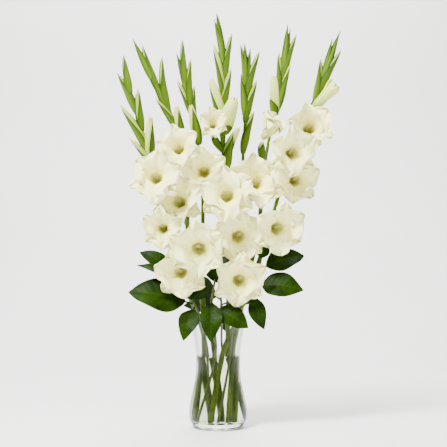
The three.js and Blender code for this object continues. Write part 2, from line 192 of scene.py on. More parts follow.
# Each floret: its spike, its throat, its radius, and how many degrees it turns, tilts and rolls. One
# that is still opening has its share of a full opening.
FLORETS = [
    {"spike": 3, "throat": [-12, -20, 396], "radius": 30, "turn": [5, 20, 8]},
    {"spike": 1, "throat": [-78, -45, 346], "radius": 46, "turn": [-6, 10, 10]},
    {"spike": 0, "throat": [-125, -55, 289], "radius": 52, "turn": [-6, 5, -8]},
    {"spike": 2, "throat": [-28, -40, 305], "radius": 50, "turn": [0, -2, 5]},
    {"spike": 1, "throat": [-76, -30, 240], "radius": 54, "turn": [-13, 10, 0]},
    {"spike": 3, "throat": [19, -75, 250], "radius": 55, "turn": [-3, 8, 0]},
    {"spike": 4, "throat": [76, -45, 277], "radius": 56, "turn": [8, 14, 8]},
    {"spike": 6, "throat": [144, -80, 338], "radius": 51, "turn": [14, 0, 0]},
    {"spike": 6, "throat": [183, -45, 389], "radius": 50, "turn": [10, 8, 12]},
    {"spike": 5, "throat": [154, -45, 287], "radius": 50, "turn": [12, -5, -6]},
    {"spike": 0, "throat": [-110, -45, 190], "radius": 42, "turn": [-5, -5, 0]},
    {"spike": 2, "throat": [-37, -80, 149], "radius": 58, "turn": [-2, -10, 0]},
    {"spike": 3, "throat": [39, -45, 174], "radius": 56, "turn": [8, -9, 5]},
    {"spike": 5, "throat": [115, -45, 190], "radius": 55, "turn": [20, -8, 0]},
    {"spike": 1, "throat": [-74, -45, 100], "radius": 54, "turn": [-6, -8, 10]},
    {"spike": 4, "throat": [41, -45, 84], "radius": 56, "turn": [6, -5, -6]},
    {"spike": 5, "throat": [99, -22, 386], "radius": 42, "turn": [62, 52, 0], "opening": 0.6},
]

# The filler sprigs stand and lean as the spikes do. front is the side that their leaves face.
SPRIGS = {
    "left": {
        "foot": [190, 0.3], "waist": [238, 0.97], "rim": [221, 0.85],
        "line": [[-52, -30, 38], [-86, -14, 84], [-98, -8, 125]],
        "front": [0, -1, 0.7],
    },
    "front": {
        "foot": [212, 0.95], "waist": [262, 0.97], "rim": [256, 0.78],
        "line": [[-13, -46, 36], [-6, -26, 85], [0, -14, 120]],
        "front": [0, -1, 0.7],
    },
    "right": {
        "foot": [270, 0.45], "waist": [310, 0.9], "rim": [310, 0.94],
        "line": [[63, -36, 45], [84, -25, 90], [90, -16, 130]],
        "front": [0, -1, 0.7],
    },
    "back": {
        "foot": [35, 0.95], "waist": [75, 0.97], "rim": [80, 0.84],
        "line": [[6, 56, 45], [2, 60, 95]],
        "front": [0, 1, 0.7],
    },
}

# Each leaf: its sprig, the height of its stalk on it, its tip, its width, how far its blade arches,
# and, if any, how many degrees it rolls about its own length.
LEAVES = [
    {"sprig": "left", "at": 98, "tip": [-163, -10, 144], "width": 38, "arch": 8},
    {"sprig": "left", "at": 66, "tip": [-164, -44, 118], "width": 32, "arch": 12, "roll": 20},
    {"sprig": "left", "at": 34, "tip": [-182, -48, 63], "width": 82, "arch": 8},
    {"sprig": "left", "at": 30, "tip": [-70, -72, -36], "width": 42, "arch": 10},
    {"sprig": "left", "at": 112, "tip": [-64, -4, 182], "width": 34, "arch": 4},
    {"sprig": "front", "at": 46, "tip": [-14, -86, -38], "width": 46, "arch": 12},
    {"sprig": "front", "at": 26, "tip": [62, -68, -10], "width": 52, "arch": 8},
    {"sprig": "front", "at": 58, "tip": [-76, -48, 52], "width": 40, "arch": 6},
    {"sprig": "front", "at": 74, "tip": [13, -16, 148], "width": 46, "arch": 4},
    {"sprig": "right", "at": 56, "tip": [94, -50, -16], "width": 36, "arch": 14, "roll": 15},
    {"sprig": "right", "at": 72, "tip": [175, -48, 66], "width": 62, "arch": 8},
    {"sprig": "right", "at": 106, "tip": [180, -14, 137], "width": 56, "arch": 8},
    {"sprig": "right", "at": 124, "tip": [98, -20, 166], "width": 30, "arch": 3},
    {"sprig": "back", "at": 40, "tip": [-80, 84, 80], "width": 56, "arch": 8},
    {"sprig": "back", "at": 54, "tip": [88, 82, 86], "width": 56, "arch": 8},
    {"sprig": "back", "at": 26, "tip": [20, 94, -30], "width": 46, "arch": 10},
    {"sprig": "back", "at": 62, "tip": [-14, 76, 168], "width": 60, "arch": 6},
    {"sprig": "back", "at": 16, "tip": [-74, 74, 30], "width": 44, "arch": 6},
    {"sprig": "back", "at": 30, "tip": [86, 72, 44], "width": 44, "arch": 6},
]


def above_rim(place):
    """A point of the tables, given by its height above the rim."""
    x, y, height = place
    return np.array([x * MM, y * MM, VASE_HEIGHT + height * MM])


def unit(vectors):
    """Each vector at a length of 1."""
    return vectors / np.maximum(np.linalg.norm(vectors, axis=-1, keepdims=True), 1e-12)


def smooth(share):
    """0 to 1 with a soft start and end."""
    share = np.clip(share, 0, 1)
    return share * share * (3 - 2 * share)


def catmull_rom(points, count):
    """Points along the uniform Catmull-Rom curve through a list of points."""
    points = np.array(points, float)
    knots = np.vstack([2 * points[0] - points[1], points, 2 * points[-1] - points[-2]])
    place = np.linspace(0, len(points) - 1, count)
    i = np.minimum(place.astype(int), len(points) - 2)
    w = (place - i)[:, None]
    before, start, end, after = (knots[i + k] for k in range(4))
    leave, arrive = (end - before) / 2, (after - start) / 2
    cubic = (2 * start - 2 * end + leave + arrive) * w**3
    return cubic + (-3 * start + 3 * end - 2 * leave - arrive) * w**2 + leave * w + start


def bezier(start, middle, end, count):
    """Points along a quadratic Bezier curve."""
    w = np.linspace(0, 1, count)[:, None]
    return (1 - w) ** 2 * start + 2 * w * (1 - w) * middle + w**2 * end


def profile(stops, shares):
    """A smooth value at each share, through (share, value) stops."""
    curve = catmull_rom(stops, 12 * len(stops))
    return np.interp(shares, curve[:, 0], curve[:, 1])


def path_along(centres, first):
    """A line with its normals and binormals, which turn as little as they can from a first direction."""
    tangents = unit(np.gradient(centres, axis=0))
    normals = np.empty_like(centres)
    normal = np.array(first, float)
    for i, tangent in enumerate(tangents):
        normal = normal - tangent * np.dot(normal, tangent)
        normal /= np.linalg.norm(normal)
        normals[i] = normal
    return centres, normals, np.cross(tangents, normals)


class Surface:
    """Closed shells gathered into one mesh. Every point keeps three numbers for the materials to read:
    how far along its piece it is (0 to 1), how far across (-1 to 1), and a number of the piece's own."""

    def __init__(self, rng=None):
        self.rng = rng
        self.points = []
        self.grain = []
        self.faces = []
        self.skins = []
        self.count = 0

    def shell(self, rings, along, across, own, skin, caps):
        """Joins rows of points, each closed round, into a shell. caps are the faces of its two ends."""
        rows, columns = rings.shape[:2]
        i, j = np.meshgrid(np.arange(rows - 1), np.arange(columns), indexing="ij")
        k = (j + 1) % columns
        corners = [i * columns + j, i * columns + k, (i + 1) * columns + k, (i + 1) * columns + j]
        quads = np.stack(corners, -1).reshape(-1, 4).tolist()
        last = (rows - 1) * columns
        quads += [list(reversed(cap)) for cap in caps] + [[last + c for c in cap] for cap in caps]
        grain = np.empty((rows, columns, 3))
        grain[..., 0] = along
        grain[..., 1] = across
        grain[..., 2] = own
        self.points.append(rings.reshape(-1, 3))
        self.grain.append(grain.reshape(-1, 3))
        self.faces += [[self.count + corner for corner in face] for face in quads]
        self.skins += [skin] * len(quads)
        self.count += rows * columns

    def tube(self, centres, radii, first, own=0.0, skin=0, sides=14):
        """A round bar along a line."""
        _, normals, binormals = path_along(centres, first)
        turn = np.linspace(0, 2 * math.pi, sides, endpoint=False)[None, :, None]
        reach = np.broadcast_to(radii, len(centres))[:, None, None]
        round_it = np.cos(turn) * normals[:, None] + np.sin(turn) * binormals[:, None]
        along = np.linspace(0, 1, len(centres))[:, None]
        across = np.cos(turn[..., 0])
        rings = centres[:, None] + reach * round_it
        self.shell(rings, along, across, own, skin, [list(range(sides))])

    def sheet(self, points, thickness, own=0.0, skin=0):
        """A thin sheet from rows of points, with its thickness at each point, laid evenly on both sides."""
        rows, columns = points.shape[:2]
        normals = unit(np.cross(np.gradient(points, axis=0), np.gradient(points, axis=1)))
        offset = normals * np.broadcast_to(thickness, (rows, columns))[..., None] / 2
        rings = np.concatenate([points + offset, (points - offset)[:, ::-1]], axis=1)
        across = np.linspace(-1, 1, columns)
        cap = [[j, j + 1, 2 * columns - 2 - j, 2 * columns - 1 - j] for j in range(columns - 1)]
        along = np.linspace(0, 1, rows)[:, None]
        self.shell(rings, along, np.concatenate([across, across[::-1]])[None, :], own, skin, cap)

    def build(self, name, skins, node):
        """Makes the mesh a piece that rides on the root and stands for a node of the frame."""
        mesh = bpy.data.meshes.new(name)
        points = np.concatenate(self.points)
        mesh.from_pydata(points.tolist(), [], self.faces)
        mesh.polygons.foreach_set("material_index", self.skins)
        work = bmesh.new()
        work.from_mesh(mesh)
        bmesh.ops.recalc_face_normals(work, faces=work.faces)
        work.to_mesh(mesh)
        work.free()
        grain = mesh.attributes.new("grain", "FLOAT_VECTOR", "POINT")
        grain.data.foreach_set("vector", np.concatenate(self.grain).astype(np.float32).ravel())
        mesh.shade_smooth()
        for skin in skins:
            mesh.materials.append(skin)
        piece = bpy.data.objects.new(name, mesh)
        bpy.context.collection.objects.link(piece)
        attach(piece, "root")
        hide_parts(node)


# ---- materials


class Finish:
    """A material with one Principled shader, and short calls that add the nodes behind it."""

    def __init__(self, name, **settings):
        self.material = bpy.data.materials.new(name)
        self.material.use_nodes = True
        self.tree = self.material.node_tree
        self.shader = self.tree.nodes["Principled BSDF"]
        for socket, value in settings.items():
            self.shader.inputs[socket.replace("_", " ")].default_value = value

    def node(self, kind, inputs=(), **settings):
        """A new node, with its inputs set to values or linked to sockets."""
        made = self.tree.nodes.new(kind)
        for key, value in settings.items():
            setattr(made, key, value)
        for key, value in dict(inputs).items():
            self.feed(made.inputs[key], value)
        return made

    def feed(self, socket, value):
        if isinstance(value, bpy.types.NodeSocket):
            self.tree.links.new(value, socket)
        else:
            socket.default_value = value

    def grain(self):
        """Along, across and the piece's own number, from the mesh."""
        read = self.node("ShaderNodeAttribute", attribute_name="grain")
        return self.node("ShaderNodeSeparateXYZ", {"Vector": read.outputs["Vector"]}).outputs

    def maths(self, operation, a, b=0.0, clamp=False):
        made = self.node("ShaderNodeMath", {0: a, 1: b}, operation=operation, use_clamp=clamp)
        return made.outputs[0]

    def times(self, a, b):
        return self.maths("MULTIPLY", a, b)

    def lines(self, across, pitch):
        """A wave across a piece, from -1 to 1, which makes lines along it."""
        return self.maths("SINE", self.times(across, pitch))

    def place(self):
        return self.node("ShaderNodeTexCoord").outputs["Object"]

    def noise(self, scale, detail=2.0):
        inputs = {"Vector": self.place(), "Scale": scale, "Detail": detail}
        return self.node("ShaderNodeTexNoise", inputs).outputs["Fac"]

    def ramp(self, share, *stops):
        made = self.node("ShaderNodeValToRGB", {"Fac": share})
        elements = made.color_ramp.elements
        while len(elements) < len(stops):
            elements.new(0.5)
        for element, (position, colour) in zip(elements, stops):
            element.position = position
            element.color = (*colour, 1)
        return made.outputs["Color"]

    def mix(self, share, a, b, blend="MIX"):
        made = self.node("ShaderNodeMix", data_type="RGBA", blend_type=blend)
        for socket, value in zip((made.inputs[0], made.inputs[6], made.inputs[7]), (share, a, b)):
            self.feed(socket, (*value, 1) if isinstance(value, tuple) else value)
        return made.outputs[2]

    def between(self, share, low, high):
        """A number from low to high as share goes from 0 to 1."""
        inputs = {"Value": share, "To Min": low, "To Max": high}
        return self.node("ShaderNodeMapRange", inputs).outputs[0]

    def bump(self, height, distance, strength=1.0):
        inputs = {"Height": height, "Distance": distance, "Strength": strength}
        self.feed(self.shader.inputs["Normal"], self.node("ShaderNodeBump", inputs).outputs[0])

    def colour(self, value):
        self.feed(self.shader.inputs["Base Color"], value)

    def roughness(self, low, high, scale):
        """A roughness that a fine noise varies."""
        self.feed(self.shader.inputs["Roughness"], self.between(self.noise(scale, 3.0), low, high))


def petal_finish():
    """Creamy white tepals with faint veins, olive in the cup of the throat, which painted shade darkens
    deeper in.
    """
    white = Finish(
        "petal", Roughness=0.55, Subsurface_Weight=0.12, Subsurface_Radius=(1.0, 0.95, 0.6),
        Subsurface_Scale=0.003, Specular_IOR_Level=0.2,
    )
    along, across, own = white.grain()
    wander = white.times(white.noise(45.0), 0.16)
    depth = white.maths("ADD", white.maths("SUBTRACT", along, 0.08), wander)
    # The throat's own olive colour, made darker deeper in the cup as painted shade.
    throat_colour_and_shade = white.ramp(
        depth, (0.0, (0.30, 0.28, 0.03)), (0.2, (0.44, 0.42, 0.08)), (0.33, (0.68, 0.66, 0.24)),
        (0.46, (0.94, 0.88, 0.26)), (0.72, (0.97, 0.925, 0.40)), (1.0, (0.96, 0.93, 0.50)),
    )
    cream = white.mix(white.times(own, 0.6), throat_colour_and_shade, (0.93, 0.94, 0.76), "MULTIPLY")
    lines = white.maths("SINE", white.maths("ADD", white.times(across, 52.0), wander))
    veined = white.mix(white.between(lines, 0.0, 0.16), cream, (0.80, 0.82, 0.55), "MULTIPLY")
    # Painted shade: the tepals darken towards their edges.
    rim = white.maths("POWER", white.maths("ABSOLUTE", across), 7.0)
    edge_shaded = white.mix(white.times(rim, 0.55), veined, (0.70, 0.72, 0.42))
    bruise = white.between(white.noise(220.0, 4.0), 0.0, 0.08)
    white.colour(white.mix(bruise, edge_shaded, (0.80, 0.79, 0.52)))
    white.roughness(0.45, 0.65, 150.0)
    white.bump(white.maths("ADD", lines, white.noise(420.0, 3.0)), 0.00022, 0.7)
    return white.material


def bud_finish():
    """Tepals still furled: green where a bud is young, cream where it is nearly open."""
    furled = Finish("bud_tepal", Roughness=0.45, Subsurface_Weight=0.25, Subsurface_Scale=0.004)
    along, across, own = furled.grain()
    green = furled.ramp(
        along, (0.0, (0.10, 0.19, 0.004)), (0.6, (0.16, 0.27, 0.01)), (1.0, (0.28, 0.37, 0.04)),
    )
    cream = furled.ramp(
        along, (0.0, (0.26, 0.34, 0.02)), (0.35, (0.46, 0.52, 0.07)), (0.8, (0.70, 0.70, 0.18)),
        (1.0, (0.78, 0.76, 0.26)),
    )
    lines = furled.lines(across, 40.0)
    base = furled.mix(furled.maths("POWER", own, 1.7), green, cream)
    furled.colour(furled.mix(furled.between(lines, 0.0, 0.16), base, (0.55, 0.66, 0.28), "MULTIPLY"))
    furled.roughness(0.38, 0.55, 200.0)
    furled.bump(lines, 0.0002, 0.5)
    return furled.material


def bract_finish():
    """The green sheaths of buds and florets: a painted highlight down the middle, painted shade at the
    edges, and grey-green tips.
    """
    green = Finish("bract", Roughness=0.5, Specular_IOR_Level=0.12)
    along, across, own = green.grain()
    body = green.ramp(
        along, (0.0, (0.055, 0.105, 0.0006)), (0.45, (0.048, 0.098, 0.0005)), (0.8, (0.034, 0.075, 0.0005)),
        (1.0, (0.040, 0.056, 0.005)),
    )
    side = green.maths("ABSOLUTE", across)
    # Painted highlight along the middle of each bract.
    keel = green.between(green.maths("POWER", green.maths("SUBTRACT", 1.0, side), 3.0), 0.0, 0.8)
    lit = green.mix(keel, body, (0.125, 0.205, 0.001))
    lines = green.lines(across, 34.0)
    veined = green.mix(green.between(lines, 0.0, 0.2), lit, (0.095, 0.165, 0.001))
    # Painted shade towards each bract's edges.
    edge = green.times(green.maths("POWER", side, 3.0), 0.75)
    shaded = green.mix(edge, veined, (0.010, 0.026, 0.0004))
    blotch = green.between(green.noise(70.0, 3.0), 0.0, 0.3)
    toned = green.mix(blotch, shaded, (0.018, 0.044, 0.0005))
    green.colour(green.mix(green.times(own, 0.4), toned, (0.45, 0.55, 0.4), "MULTIPLY"))
    green.roughness(0.4, 0.6, 180.0)
    green.bump(green.maths("ADD", lines, green.noise(500.0)), 0.0003, 0.6)
    return green.material


def stem_finish():
    """Fresh round stems: bright green with long faint streaks, with painted light on their length in the
    vase and painted shade just above its rim.
    """
    green = Finish("stem", Roughness=0.45, Specular_IOR_Level=0.12)
    along, across, _ = green.grain()
    # Painted light on the stems' length in the vase, and painted shade just above the rim, where they
    # crowd.
    body = green.ramp(
        along, (0.0, (0.120, 0.165, 0.001)), (0.2, (0.085, 0.135, 0.0008)), (0.3, (0.045, 0.090, 0.0006)),
        (1.0, (0.070, 0.140, 0.001)),
    )
    lines = green.lines(across, 30.0)
    streaked = green.mix(green.between(lines, 0.0, 0.3), body, (0.110, 0.180, 0.001))
    blotch = green.between(green.noise(55.0, 4.0), 0.0, 0.45)
    green.colour(green.mix(blotch, streaked, (0.014, 0.034, 0.0004)))
    green.roughness(0.3, 0.5, 120.0)
    green.bump(green.maths("ADD", lines, green.noise(350.0)), 0.0002, 0.4)
    return green.material


def leaf_finish():
    """Dark leathery leaves with a pale midrib and side veins."""
    green = Finish("leaf", Roughness=0.4, Specular_IOR_Level=0.04)
    along, across, _ = green.grain()
    side = green.maths("ABSOLUTE", across)
    ribs = green.maths("SUBTRACT", green.times(along, LEAF_VEINS), green.times(side, VEIN_SLANT))
    wave = green.maths("COSINE", green.times(ribs, 2 * math.pi))
    vein = green.maths("POWER", green.between(wave, 0.0, 1.0), 14.0)
    midrib = green.maths("POWER", green.maths("SUBTRACT", 1.0, side, clamp=True), 26.0)
    lines = green.maths("MAXIMUM", green.times(vein, 0.45), midrib)
    blotch = green.noise(38.0, 4.0)
    blade = green.ramp(
        blotch, (0.3, (0.003, 0.009, 0.0001)), (0.52, (0.0065, 0.019, 0.0001)),
        (0.75, (0.012, 0.032, 0.0001)),
    )
    green.colour(green.mix(green.times(lines, 0.55), blade, (0.020, 0.042, 0.0004)))
    green.roughness(0.36, 0.52, 90.0)
    fine = green.noise(300.0, 4.0)
    green.bump(green.maths("SUBTRACT", fine, green.times(lines, 1.2)), 0.0005, 0.5)
    return green.material


def twig_finish():
    """The sprigs' woody stems: olive bark with brown patches."""
    bark = Finish("twig", Roughness=0.6)
    patches = bark.ramp(
        bark.noise(120.0, 5.0), (0.3, (0.050, 0.075, 0.012)), (0.55, (0.095, 0.125, 0.020)),
        (0.8, (0.12, 0.085, 0.035)),
    )
    bark.colour(patches)
    bark.roughness(0.45, 0.7, 260.0)
    bark.bump(bark.noise(420.0, 5.0), 0.0006, 0.6)
    return bark.material


def stamen_finish():
    """Olive filaments and dusty anthers. A filament's own number is 0 and an anther's is 1."""
    pale = Finish("stamen", Roughness=0.7, Subsurface_Weight=0.2, Subsurface_Scale=0.002)
    _, _, own = pale.grain()
    dust = pale.ramp(pale.noise(900.0, 3.0), (0.3, (0.34, 0.31, 0.07)), (0.7, (0.50, 0.46, 0.15)))
    pale.colour(pale.mix(own, (0.46, 0.46, 0.15), dust))
    pale.bump(pale.noise(1500.0, 2.0), 0.0003, 0.6)
    return pale.material


# The tint of the glass's and the water's reflections. It keeps the pale room out of them face-on.
GLASS_SHEEN = (0.15, 0.15, 0.15, 1)


def glass_finish():
    """Clear pressed glass with a faint wave in its surface, and painted shade towards its outline."""
    clear = Finish("clear_glass", Transmission_Weight=1.0, IOR=1.46, Roughness=0.0)
    clear.shader.inputs["Specular Tint"].default_value = GLASS_SHEEN
    # Painted shade: the glass's colour darkens towards its outline as the camera sees it.
    shade_by_facing = clear.node("ShaderNodeLayerWeight", {"Blend": 0.5}).outputs["Facing"]
    clear.colour(clear.ramp(
        shade_by_facing, (0.0, (0.98, 0.99, 0.985)), (0.35, (0.93, 0.94, 0.935)),
        (0.6, (0.55, 0.57, 0.56)), (1.0, (0.02, 0.025, 0.022)),
    ))
    clear.bump(clear.noise(14.0, 1.0), 0.0006, 0.25)
    return clear.material


def water_finish():
    """Still water, tinted green as by the crowd of stems in it."""
    clear = Finish("clear_water", Transmission_Weight=1.0, IOR=1.33, Roughness=0.0)
    clear.shader.inputs["Specular Tint"].default_value = GLASS_SHEEN
    clear.shader.inputs["Base Color"].default_value = (0.66, 0.75, 0.50, 1)
    clear.bump(clear.noise(20.0, 1.0), 0.0003, 0.15)
    return clear.material


def floor_finish():
    """A plain pale floor with a hardly visible unevenness."""
    pale = Finish("pale_floor", Roughness=0.6)
    tint = pale.ramp(pale.noise(3.0, 3.0), (0.3, (0.80, 0.80, 0.79)), (0.7, (0.83, 0.83, 0.82)))
    pale.colour(tint)
    return pale.material


# ---- vase and water


def vase_radius(z):
    """The vase's outer radius at a height: foot, belly, waist and flaring rim."""
    if z < BELLY_HEIGHT:
        drop = 1 - max(z, 0) / BELLY_HEIGHT
        return FOOT_RADIUS + (BELLY_RADIUS - FOOT_RADIUS) * math.sqrt(1 - drop * drop)
    if z < WAIST_LOW:
        share = (z - BELLY_HEIGHT) / (WAIST_LOW - BELLY_HEIGHT)
        return BELLY_RADIUS + (WAIST_RADIUS - BELLY_RADIUS) * (1 - math.cos(math.pi * share)) / 2
    share = max(0.0, (z - WAIST_HIGH) / (VASE_HEIGHT - WAIST_HIGH))
    return WAIST_RADIUS + (RIM_RADIUS - WAIST_RADIUS) * share**RIM_FLARE


def turned(surface, outline, sides=128):
    """A solid of revolution about Z from (radius, height) points that start and end near the axis."""
    turn = np.linspace(0, 2 * math.pi, sides, endpoint=False)
    radii, heights = np.array(outline, float).T
    rings = np.empty((len(radii), sides, 3))
    rings[..., 0] = radii[:, None] * np.cos(turn)
    rings[..., 1] = radii[:, None] * np.sin(turn)
    rings[..., 2] = heights[:, None]
    surface.shell(rings, 0.0, 0.0, 0.0, 0, [list(range(sides))])


def arc(centre, radius, start, end, steps=8):
    """Points on a round corner, between two angles in degrees."""
    angles = np.radians(np.linspace(start, end, steps))
    return [(centre[0] + radius * math.cos(a), centre[1] + radius * math.sin(a)) for a in angles]


def cavity(top, outset=0.0):
    """The inside wall from the middle of the floor up to a height, moved into the glass by outset."""
    corner = GLASS_FLOOR + FLOOR_CORNER
    wall = vase_radius(corner) - GLASS_WALL
    rounded = arc((wall - FLOOR_CORNER + outset, corner), FLOOR_CORNER, -90, 0)
    rise = [(vase_radius(z) - GLASS_WALL + outset, z) for z in np.linspace(corner, top, 70)[1:]]
    flat = wall - FLOOR_CORNER
    dome = [(share * flat, GLASS_FLOOR + FLOOR_DOME * (1 - share**2)) for share in (0.001, 0.3, 0.6)]
    return dome + rounded + rise


def build_vase(glass):
    """The glass: its foot with a shallow punt, its outside, its round lip and its inside."""
    foot_round = 3 * MM
    foot = [(0.02 * MM, 1.6 * MM), (0.6 * FOOT_RADIUS, 1.4 * MM), (FOOT_RADIUS - 8 * MM, 0.2 * MM)]
    foot += arc((FOOT_RADIUS - 1 * MM, foot_round), foot_round, -90, -25)
    lip = GLASS_WALL / 2
    outside = [(vase_radius(z), z) for z in np.linspace(foot_round + 1 * MM, VASE_HEIGHT - lip, 90)]
    rim = arc((RIM_RADIUS - lip, VASE_HEIGHT - lip), lip, 0, 180, 12)
    inside = cavity(VASE_HEIGHT - lip)[::-1]
    surface = Surface()
    turned(surface, foot + outside + rim[1:-1] + inside)
    surface.build("vase", [glass], "glass_vase")


def build_water(water):
    """The water wets the glass and climbs it a little at its edge."""
    wetted = 0.15 * MM
    climb = 1.5 * MM
    side = cavity(WATER_LEVEL + climb, wetted)
    wall = side[-1][0]
    shares = np.linspace(0.97, 0.001, 24)
    reach = 2 * MM
    top = [(share * wall, WATER_LEVEL + climb * math.exp((share - 1) * wall / reach)) for share in shares]
    surface = Surface()
    turned(surface, side + top)
    surface.build("vase_water", [water], "water")


# ---- stems and sprigs


def in_vase(z, place, radius):
    """A point in the vase at a height, for a stem of a given radius."""
    angle, share = place
    reach = share * (vase_radius(z) - GLASS_WALL - radius - CLEARANCE)
    return np.array([reach * math.cos(math.radians(angle)), reach * math.sin(math.radians(angle)), z])


def centre_line(stem, radius, count=200):
    """A stem's centre line, from its cut end on the vase's floor to its tip."""
    standing = in_vase(GLASS_FLOOR + FLOOR_CORNER, stem["foot"], radius + FLOOR_CORNER)
    crossing = in_vase(WAIST_HIGH, stem["waist"], radius)
    lean = np.linalg.norm((crossing - standing)[:2]) / np.linalg.norm(crossing - standing)
    standing[2] = GLASS_FLOOR + FLOOR_DOME + CLEARANCE + radius * lean
    leaving = in_vase(VASE_HEIGHT, stem["rim"], radius)
    return catmull_rom([standing, crossing, leaving, *map(above_rim, stem["line"])], count)


def point_at_height(line, z):
    """The point where a rising line reaches a height, and its direction there."""
    i = int(np.clip(np.searchsorted(line[:, 2], z), 1, len(line) - 1))
    share = (z - line[i - 1, 2]) / (line[i, 2] - line[i - 1, 2])
    return line[i - 1] + np.clip(share, 0, 1) * (line[i] - line[i - 1]), unit(line[i] - line[i - 1])


def add_stem(surface, line):
    """A spike's stem, with the slight swellings of a grown stalk and a clean cut at its foot."""
    shares = np.linspace(0, 1, len(line))
    taper = STEM_RADIUS * (1 - (1 - STEM_TIP_SHARE) * shares**2)
    swell = 1 + 0.03 * np.sin(19 * shares + surface.rng.uniform(0, 6)) + 0.02 * np.sin(47 * shares)
    radii = STEM_LEANNESS * taper * swell
    radii[0] *= CUT_SHARE
    surface.tube(line, radii, (1, 0, 0), sides=20)


# ---- buds and their bracts


BRACT_ROWS = 26
BRACT_COLUMNS = 13
BRACT_THICKNESS = 0.7 * MM
BRACT_LIFT = 0.35 * MM  # over what it wraps
BRACT_EDGE_LIFT = 0.35 * MM
BRACT_TIP_LIFT = 0.9 * MM
BRACT_LAYER = 0.4 * MM  # from the inner bract of a pair to the outer
BRACT_REACH = 2.25  # radians that a full bract reaches round each side
# The widest radius of a bud as a share of the width in its row, and how much longer it is drawn.
BUD_RADIUS_SHARE = 0.49
BUD_LENGTH_SHARE = 1.035
BUD_FOOT = 4  # radius, in millimetres as its width is
BUD_FLARE = 0.25  # how far the furled tips open, as a share of the bud's radius
TRUMPET_FLARE = 2.2
FURLED_TEPALS = 5
FURLED_COLUMNS = 17


def wrap(path, radii, middle, reach, columns=BRACT_COLUMNS):
    """Rows of points round a path, from -reach to reach of a middle angle."""
    centres, normals, binormals = path
    turn = middle + np.asarray(reach)[:, None] * np.linspace(-1, 1, columns)[None, :]
    radii = np.broadcast_to(np.asarray(radii).reshape(len(centres), -1), turn.shape)
    out = np.cos(turn)[..., None] * normals[:, None] + np.sin(turn)[..., None] * binormals[:, None]
    return centres[:, None] + radii[..., None] * out


def add_bract(surface, path, radii, middle, end, widest):
    """A pointed sheath round one side of a bud, over the first end share of its length."""
    shares = np.linspace(0, 1, len(radii))
    rows = np.linspace(0, end, BRACT_ROWS)
    part = [np.stack([np.interp(rows, shares, row) for row in side.T], -1) for side in path]
    up = rows / end
    reach = widest * (1 - up**1.8) ** 0.9 + 0.03
    lift = BRACT_LIFT + BRACT_TIP_LIFT * up**6
    edge = np.abs(np.linspace(-1, 1, BRACT_COLUMNS))[None, :]
    reach_out = np.interp(rows, shares, radii)[:, None] + lift[:, None] + BRACT_EDGE_LIFT * edge**3
    thickness = BRACT_THICKNESS * (1 - 0.6 * edge**4) * np.ones((BRACT_ROWS, 1))
    points = wrap(part, reach_out, middle, reach)
    surface.sheet(points, thickness, surface.rng.uniform(0, 1), 1)


def add_bud(surface, stem, row):
    """A bud between its two bracts. The riper it is, the more of its tepals shows."""
    base_height, x, y, tip_height, width, ripe = row
    rng = surface.rng
    base, rising = point_at_height(stem, VASE_HEIGHT + base_height * MM)
    tip = base + BUD_LENGTH_SHARE * (above_rim((x, y, tip_height)) - base)
    length = np.linalg.norm(tip - base)
    lead = unit((0.75 - 0.5 * ripe) * rising + (0.25 + 0.5 * ripe) * unit(tip - base))
    centres = bezier(base, base + 0.42 * length * lead, tip, 48)
    outward = (tip - base) - rising * np.dot(tip - base, rising)
    path = path_along(centres, outward + np.array([0, -0.15 * length, 0]))
    shares = np.linspace(0, 1, len(centres))
    foot = min(0.42, BUD_FOOT / (BUD_RADIUS_SHARE * width))
    stops = [
        (0, foot), (0.12, 0.72), (0.36, 1.0), (0.7, 0.68 + 0.16 * ripe),
        (0.9, 0.3 + 0.3 * ripe), (1, 0.04 + 0.26 * ripe),
    ]
    radii = BUD_RADIUS_SHARE * width * MM * profile(stops, shares)
    if ripe > 0.5:
        add_furled(surface, path, radii, ripe)
    else:
        surface.tube(centres, 0.93 * radii, path[1][0], own=ripe, skin=2)
    outer = 1.0 - 0.16 * ripe - 0.5 * float(smooth((ripe - 0.6) / 0.35))
    tilt = rng.uniform(-0.3, 0.3)
    reach = BRACT_REACH - 1.7 * ripe**0.8 * (ripe < 0.8)
    add_bract(surface, path, radii, math.pi + tilt, 0.95 * outer, reach)
    add_bract(surface, path, radii + BRACT_LAYER, tilt, outer, reach)
    if ripe >= 1:
        add_standing_bract(surface, stem, base_height, 0.9 * length)


def add_standing_bract(surface, stem, base_height, length):
    """The outer bract of a bud that has leaned out of it. It still stands against the stem."""
    count = 30
    heights = VASE_HEIGHT + base_height * MM + np.linspace(-0.25, 0.75, count) * length
    line = np.array([point_at_height(stem, z)[0] for z in heights])
    stops = [(0, 3.6 * MM), (0.4, 6.5 * MM), (0.8, 4.5 * MM), (1, 1 * MM)]
    radii = profile(stops, np.linspace(0, 1, count))
    add_bract(surface, path_along(line, (0, -1, 0)), radii, 0.0, 1.0, 2.0)


def add_furled(surface, path, radii, ripe):
    """Tepals rolled round each other, just loosening at their tips."""
    rng = surface.rng
    centres, normals, binormals = path
    shares = np.linspace(0, 1, len(centres))
    edge = np.linspace(-1, 1, FURLED_COLUMNS)[None, :]
    flare = TRUMPET_FLARE if ripe > 1 else BUD_FLARE
    for k in range(FURLED_TEPALS):
        middle = 2 * math.pi * k / FURLED_TEPALS + rng.uniform(-0.2, 0.2)
        end = rng.uniform(0.93, 1.0)
        reach = np.interp(shares, (0, 0.5, 0.85, 1), (1.3, 1.2, 0.9, 0.35))
        wave = np.sin(9 * edge + 8 * shares[:, None] + rng.uniform(0, 6))
        ruffle = 1.4 * MM * shares[:, None] ** 4 * wave
        spread = 1 + flare * shares[:, None] ** 5 * rng.uniform(0.4, 1.3)
        tuck = 0.25 * MM * k * (1 - edge) / 2
        out = radii[:, None] * spread + tuck + ruffle * np.abs(edge) ** 1.5
        line = centres[0] + (centres - centres[0]) * end
        points = wrap((line, normals, binormals), out, middle, reach, FURLED_COLUMNS)
        surface.sheet(points, 0.6 * MM, own=0.5 + 0.5 * ripe, skin=2)


